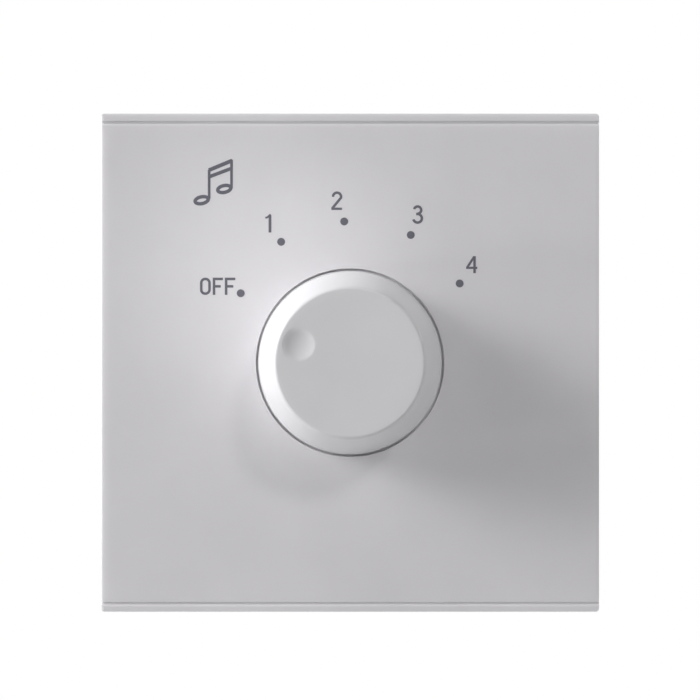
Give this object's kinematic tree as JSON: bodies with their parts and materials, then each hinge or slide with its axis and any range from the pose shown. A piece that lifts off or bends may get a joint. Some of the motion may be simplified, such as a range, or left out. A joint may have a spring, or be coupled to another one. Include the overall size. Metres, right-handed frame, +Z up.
{
  "type": "speaker volume control",
  "caption": "Square wall plate with a tapered turning knob for setting loudspeaker volume in steps, with a closed housing behind the wall plane.",
  "frame": {"origin": "middle of the wall plane, halfway between the two wall screw slots and on the knob's axis", "axes": "+X to the right seen from the room, +Y into the wall, +Z up; the face looks along -Y"},
  "size_m": [0.086, 0.0538, 0.086],
  "materials": {
    "white_plastic": "satin moulded, fine grain",
    "grey_plastic": "satin moulded",
    "black_plastic": "satin moulded",
    "terminal_plastic": "moulded",
    "bobbin_plastic": "moulded",
    "wafer_laminate": "pressed laminate",
    "board_laminate": "solder mask",
    "plated_steel": "zinc plated",
    "lamination_steel": "stacked sheet edges",
    "spring_bronze": "rolled strip",
    "brass": "turned",
    "copper_wire": "enamelled wire"
  },
  "bodies": {
    "plate": {"front_cover": "white_plastic", "mounting_frame": "white_plastic", "switch_bush": "brass", "bush_nut": "plated_steel", "lock_washer": "plated_steel", "stop_washer": "plated_steel", "switch_body": "black_plastic", "contact_wafer": "wafer_laminate", "fixed_contacts": "brass", "circuit_board": "board_laminate", "transformer_core": "lamination_steel", "transformer_bobbin": "bobbin_plastic", "transformer_winding": "copper_wire", "core_straps": "plated_steel", "bobbin_pins": "plated_steel", "terminal_block": "terminal_plastic", "terminal_clamps": "brass", "terminal_screws": "plated_steel", "rear_housing": "grey_plastic", "housing_screws": "plated_steel"},
    "knob_shaft": {"knob": "white_plastic", "knob_spring": "spring_bronze", "switch_shaft": "plated_steel", "shaft_clip": "plated_steel", "detent_rotor": "grey_plastic", "detent_balls": "plated_steel", "detent_springs": "plated_steel", "wiper_contact": "spring_bronze"}
  },
  "joints": [
    {"name": "knob_turn", "type": "hinge", "parent": "plate", "child": "knob_shaft", "pos_m": [0, 0, 0], "axis": [0, 1, 0], "range_deg": [0, 120]}
  ]
}
